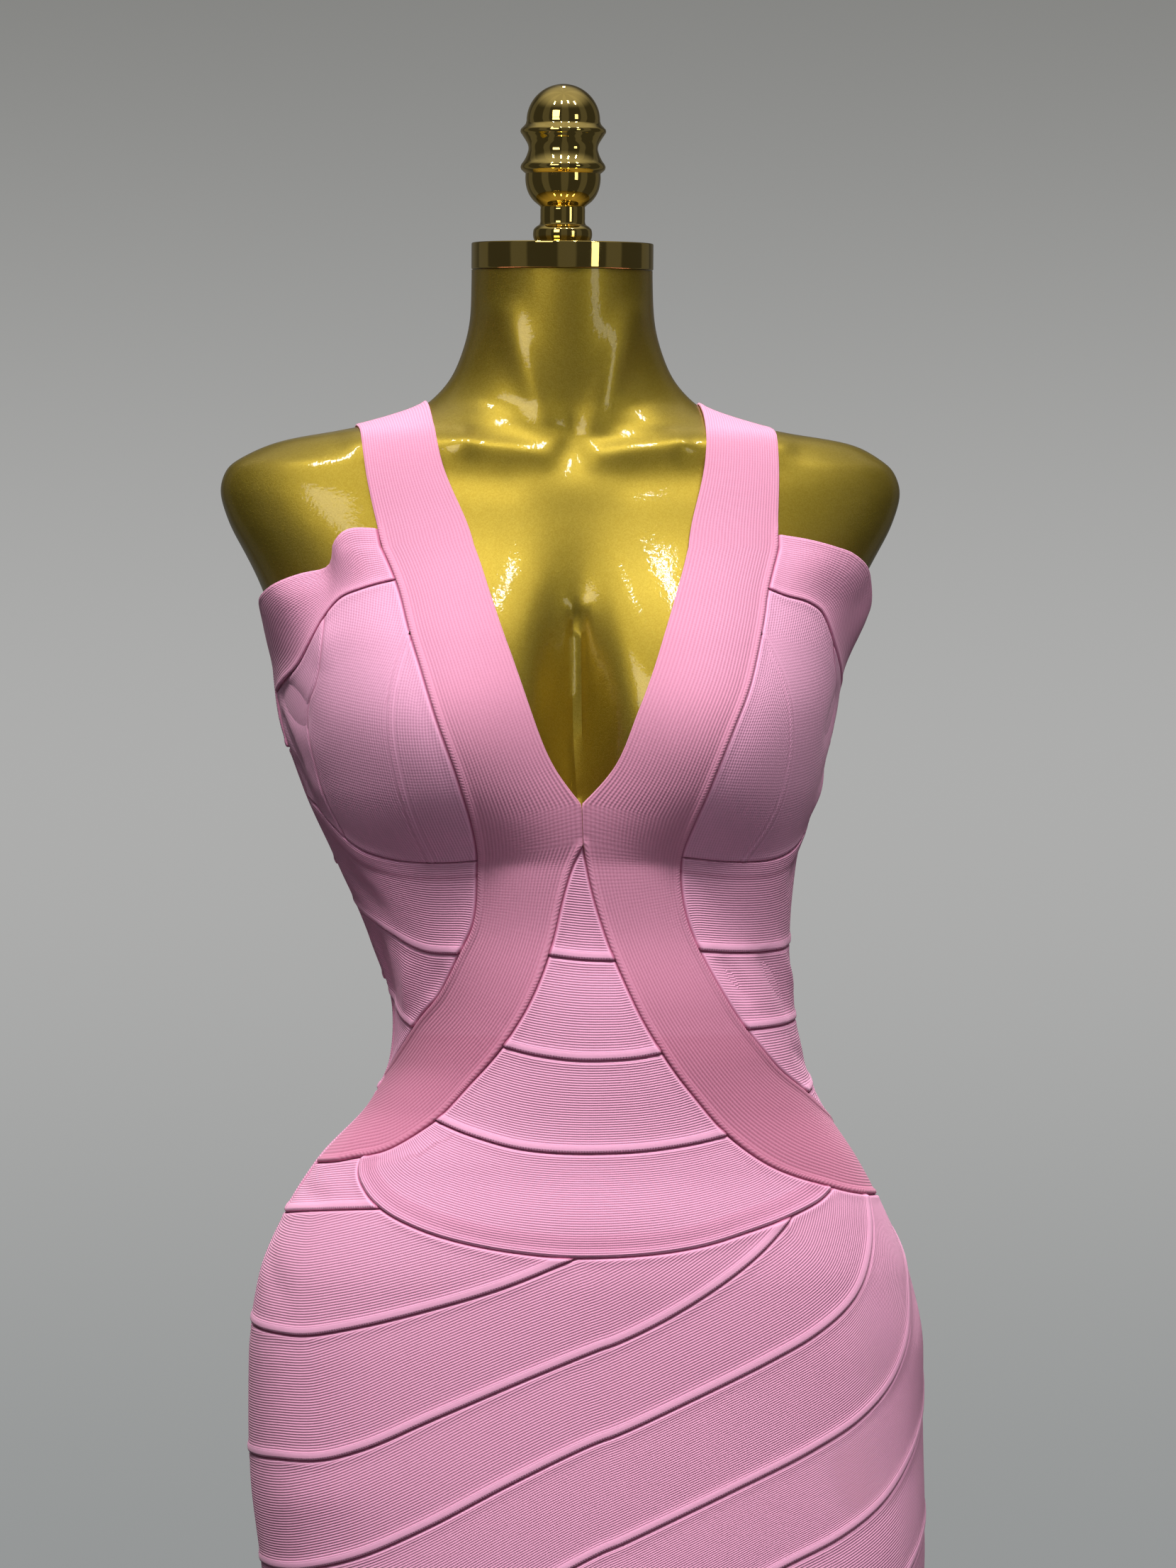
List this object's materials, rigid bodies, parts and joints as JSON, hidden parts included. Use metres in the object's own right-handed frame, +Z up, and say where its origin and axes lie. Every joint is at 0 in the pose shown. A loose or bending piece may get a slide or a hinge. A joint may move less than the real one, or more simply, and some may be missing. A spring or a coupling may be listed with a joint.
{
  "type": "bodycon dress on a dress form",
  "caption": "Sleeveless V-neck bandage dress of sewn ribbed knit bands, fitted on a gold limbless dress form with a neck cap, a turned finial and a round base.",
  "frame": {"origin": "centre of the round stand's underside, on the floor", "axes": "+Z up; the dress faces -Y; +X is to the right seen from the front, the wearer's left"},
  "size_m": [0.3983, 0.33, 1.5929],
  "materials": {
    "band_knit": "matt fine-ribbed stretch knit, pale pink",
    "v_band_knit": "matt ribbed stretch knit, slightly deeper rose pink",
    "gold_paint": "glossy metallic olive-gold lacquer",
    "gold_metal": "mirror-polished yellow gold plating"
  },
  "bodies": {
    "root": {"v_band_left": "v_band_knit", "v_band_right": "v_band_knit", "bust_band_left": "band_knit", "bust_band_right": "band_knit", "cup_outer_left": "band_knit", "cup_middle_left": "band_knit", "cup_inner_left": "band_knit", "cup_inner_right": "band_knit", "cup_middle_right": "band_knit", "cup_outer_right": "band_knit", "midriff_left_1": "band_knit", "midriff_left_2": "band_knit", "midriff_left_3": "band_knit", "midriff_right_1": "band_knit", "midriff_right_2": "band_knit", "midriff_right_3": "band_knit", "midriff_right_4": "band_knit", "centre_band_1": "band_knit", "centre_band_2": "band_knit", "centre_band_3": "band_knit", "centre_band_4": "band_knit", "hip_band_left": "band_knit", "skirt_band_1": "band_knit", "skirt_band_2": "band_knit", "skirt_band_3": "band_knit", "skirt_band_4": "band_knit", "skirt_band_5": "band_knit", "skirt_band_6": "band_knit", "skirt_band_7": "band_knit", "skirt_band_8": "band_knit", "skirt_band_9": "band_knit", "hem_front": "band_knit", "back_band_01": "band_knit", "back_band_02": "band_knit", "back_band_03": "band_knit", "back_band_04": "band_knit", "back_band_05": "band_knit", "back_band_06": "band_knit", "back_band_07": "band_knit", "back_band_08": "band_knit", "back_band_09": "band_knit", "back_band_10": "band_knit", "back_band_11": "band_knit", "back_band_12": "band_knit", "form_torso": "gold_paint", "form_neck_cap": "gold_metal", "form_finial": "gold_metal", "stand_pole": "gold_metal", "stand_collar": "gold_metal", "stand_base": "gold_metal"}
  },
  "joints": []
}
